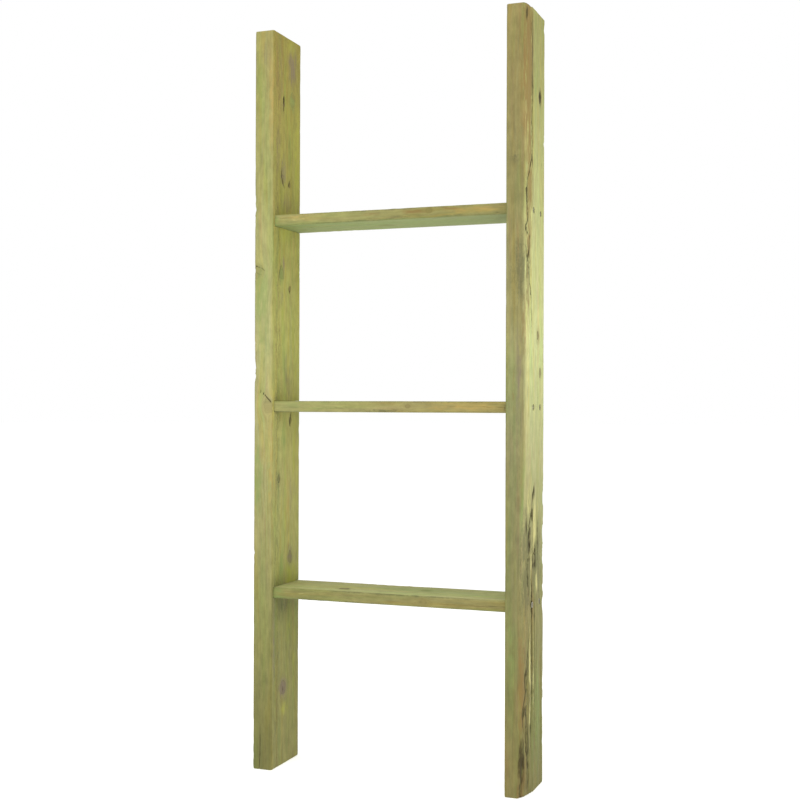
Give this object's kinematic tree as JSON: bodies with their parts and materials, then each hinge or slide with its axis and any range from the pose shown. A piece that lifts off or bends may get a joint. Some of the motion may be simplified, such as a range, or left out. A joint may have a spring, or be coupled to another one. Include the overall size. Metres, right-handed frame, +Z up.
{
  "type": "ladder toss frame",
  "caption": "Upright timber ladder frame with flat board rungs housed and screwed between sawn side rails, a target for a lawn toss game.",
  "frame": {"origin": "on the ground, midway between the rails and midway from front to back", "axes": "+Z up the rails, +X towards the right rail seen from the front, front towards -Y"},
  "size_m": [0.458, 0.102, 1.2],
  "materials": {
    "rail_timber": "sawn treated softwood, yellow-green",
    "rung_timber": "sawn treated softwood, slightly warmer",
    "screw_steel": "dull galvanised"
  },
  "bodies": {
    "root": {"left_rail": "rail_timber", "right_rail": "rail_timber", "bottom_rung": "rung_timber", "middle_rung": "rung_timber", "top_rung": "rung_timber", "bottom_left_front_screw": "screw_steel", "bottom_left_rear_screw": "screw_steel", "bottom_right_front_screw": "screw_steel", "bottom_right_rear_screw": "screw_steel", "middle_left_front_screw": "screw_steel", "middle_left_rear_screw": "screw_steel", "middle_right_front_screw": "screw_steel", "middle_right_rear_screw": "screw_steel", "top_left_front_screw": "screw_steel", "top_left_rear_screw": "screw_steel", "top_right_front_screw": "screw_steel", "top_right_rear_screw": "screw_steel"}
  },
  "joints": []
}
